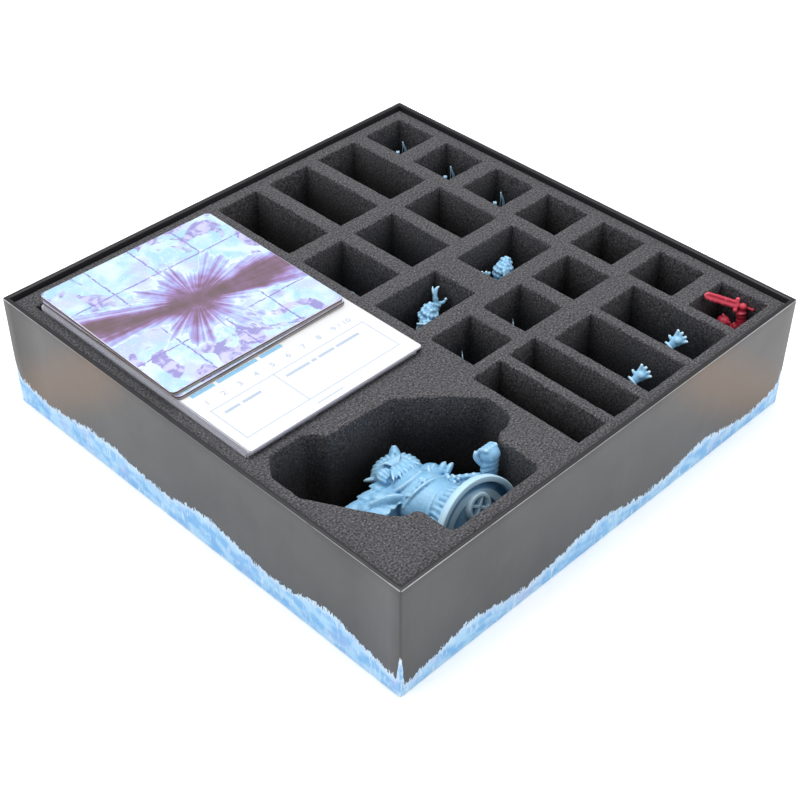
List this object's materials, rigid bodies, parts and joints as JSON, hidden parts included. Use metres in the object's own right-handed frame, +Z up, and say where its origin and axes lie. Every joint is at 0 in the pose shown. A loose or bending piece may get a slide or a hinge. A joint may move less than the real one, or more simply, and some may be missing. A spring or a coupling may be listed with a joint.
{
  "type": "board game box insert organizer",
  "caption": "Open square game-box base with a fitted foam tray: cut pockets hold moulded figures, and a recess holds a score pad with map tiles on top.",
  "frame": {"origin": "middle of the box's underside", "axes": "+Z up out of the open top; +X and +Y along the box's sides, with the large figure's pocket in the -X, -Y corner and the score pad along the -X side"},
  "size_m": [0.267, 0.267, 0.0686],
  "materials": {
    "greyboard": "raw grey bookbinding board, hidden under the wrap and lining",
    "printed_wrap": "satin laminated print, smoky grey over a pale icy lower band",
    "black_lining": "matt black lining paper",
    "gummed_tape": "brown gummed paper",
    "foam": "fine-pored dark grey polyurethane foam, cut edges",
    "chipboard": "grey pad backing",
    "pad_paper": "white uncoated sheets with pale printed rules",
    "tile_print": "die-cut board with satin print of pale flagstones",
    "ice_plastic": "moulded light blue plastic",
    "red_plastic": "moulded crimson plastic"
  },
  "bodies": {
    "box": {"box_board": "greyboard", "box_wrap": "printed_wrap", "box_lining": "black_lining", "corner_stay_1": "gummed_tape", "corner_stay_2": "gummed_tape", "corner_stay_3": "gummed_tape", "corner_stay_4": "gummed_tape"},
    "foam_tray": {"foam_base": "foam", "foam_grid": "foam", "foam_riser": "foam"},
    "pad": {"pad_backing": "chipboard", "pad_sheets": "pad_paper"},
    "tile_lower": {"tile_lower": "tile_print"},
    "tile_upper": {"tile_upper": "tile_print"},
    "beast": {"beast_figure": "ice_plastic", "beast_base": "ice_plastic"},
    "knight": {"knight_figure": "red_plastic", "knight_base": "red_plastic"},
    "archer_1": {"archer_1_figure": "ice_plastic", "archer_1_base": "ice_plastic"},
    "archer_2": {"archer_2_figure": "ice_plastic", "archer_2_base": "ice_plastic"},
    "archer_3": {"archer_3_figure": "ice_plastic", "archer_3_base": "ice_plastic"},
    "prowler_1": {"prowler_1_figure": "ice_plastic", "prowler_1_base": "ice_plastic"},
    "prowler_2": {"prowler_2_figure": "ice_plastic", "prowler_2_base": "ice_plastic"},
    "clawed": {"clawed_figure": "ice_plastic", "clawed_base": "ice_plastic"},
    "shaggy": {"shaggy_figure": "ice_plastic", "shaggy_base": "ice_plastic"},
    "spearman_1": {"spearman_1_figure": "ice_plastic", "spearman_1_base": "ice_plastic"},
    "spearman_2": {"spearman_2_figure": "ice_plastic", "spearman_2_base": "ice_plastic"},
    "grasper_1": {"grasper_1_figure": "ice_plastic", "grasper_1_base": "ice_plastic"},
    "grasper_2": {"grasper_2_figure": "ice_plastic", "grasper_2_base": "ice_plastic"}
  },
  "joints": [
    {"name": "foam_tray_lift", "type": "slide", "parent": "box", "child": "foam_tray", "axis": [0, 0, 1], "range_m": [0, 0.068]},
    {"name": "pad_lift", "type": "slide", "parent": "foam_tray", "child": "pad", "axis": [0, 0, 1], "range_m": [0, 0.03]},
    {"name": "tile_lower_lift", "type": "slide", "parent": "pad", "child": "tile_lower", "axis": [0, 0, 1], "range_m": [0, 0.012]},
    {"name": "tile_upper_lift", "type": "slide", "parent": "tile_lower", "child": "tile_upper", "axis": [0, 0, 1], "range_m": [0, 0.012]},
    {"name": "beast_lift", "type": "slide", "parent": "foam_tray", "child": "beast", "axis": [0, 0, 1], "range_m": [0, 0.065]},
    {"name": "knight_lift", "type": "slide", "parent": "foam_tray", "child": "knight", "axis": [0, 0, 1], "range_m": [0, 0.065]},
    {"name": "archer_1_lift", "type": "slide", "parent": "foam_tray", "child": "archer_1", "axis": [0, 0, 1], "range_m": [0, 0.065]},
    {"name": "archer_2_lift", "type": "slide", "parent": "foam_tray", "child": "archer_2", "axis": [0, 0, 1], "range_m": [0, 0.065]},
    {"name": "archer_3_lift", "type": "slide", "parent": "foam_tray", "child": "archer_3", "axis": [0, 0, 1], "range_m": [0, 0.065]},
    {"name": "prowler_1_lift", "type": "slide", "parent": "foam_tray", "child": "prowler_1", "axis": [0, 0, 1], "range_m": [0, 0.065]},
    {"name": "prowler_2_lift", "type": "slide", "parent": "foam_tray", "child": "prowler_2", "axis": [0, 0, 1], "range_m": [0, 0.065]},
    {"name": "clawed_lift", "type": "slide", "parent": "foam_tray", "child": "clawed", "axis": [0, 0, 1], "range_m": [0, 0.065]},
    {"name": "shaggy_lift", "type": "slide", "parent": "foam_tray", "child": "shaggy", "axis": [0, 0, 1], "range_m": [0, 0.065]},
    {"name": "spearman_1_lift", "type": "slide", "parent": "foam_tray", "child": "spearman_1", "axis": [0, 0, 1], "range_m": [0, 0.065]},
    {"name": "spearman_2_lift", "type": "slide", "parent": "foam_tray", "child": "spearman_2", "axis": [0, 0, 1], "range_m": [0, 0.065]},
    {"name": "grasper_1_lift", "type": "slide", "parent": "foam_tray", "child": "grasper_1", "axis": [0, 0, 1], "range_m": [0, 0.065]},
    {"name": "grasper_2_lift", "type": "slide", "parent": "foam_tray", "child": "grasper_2", "axis": [0, 0, 1], "range_m": [0, 0.065]}
  ]
}
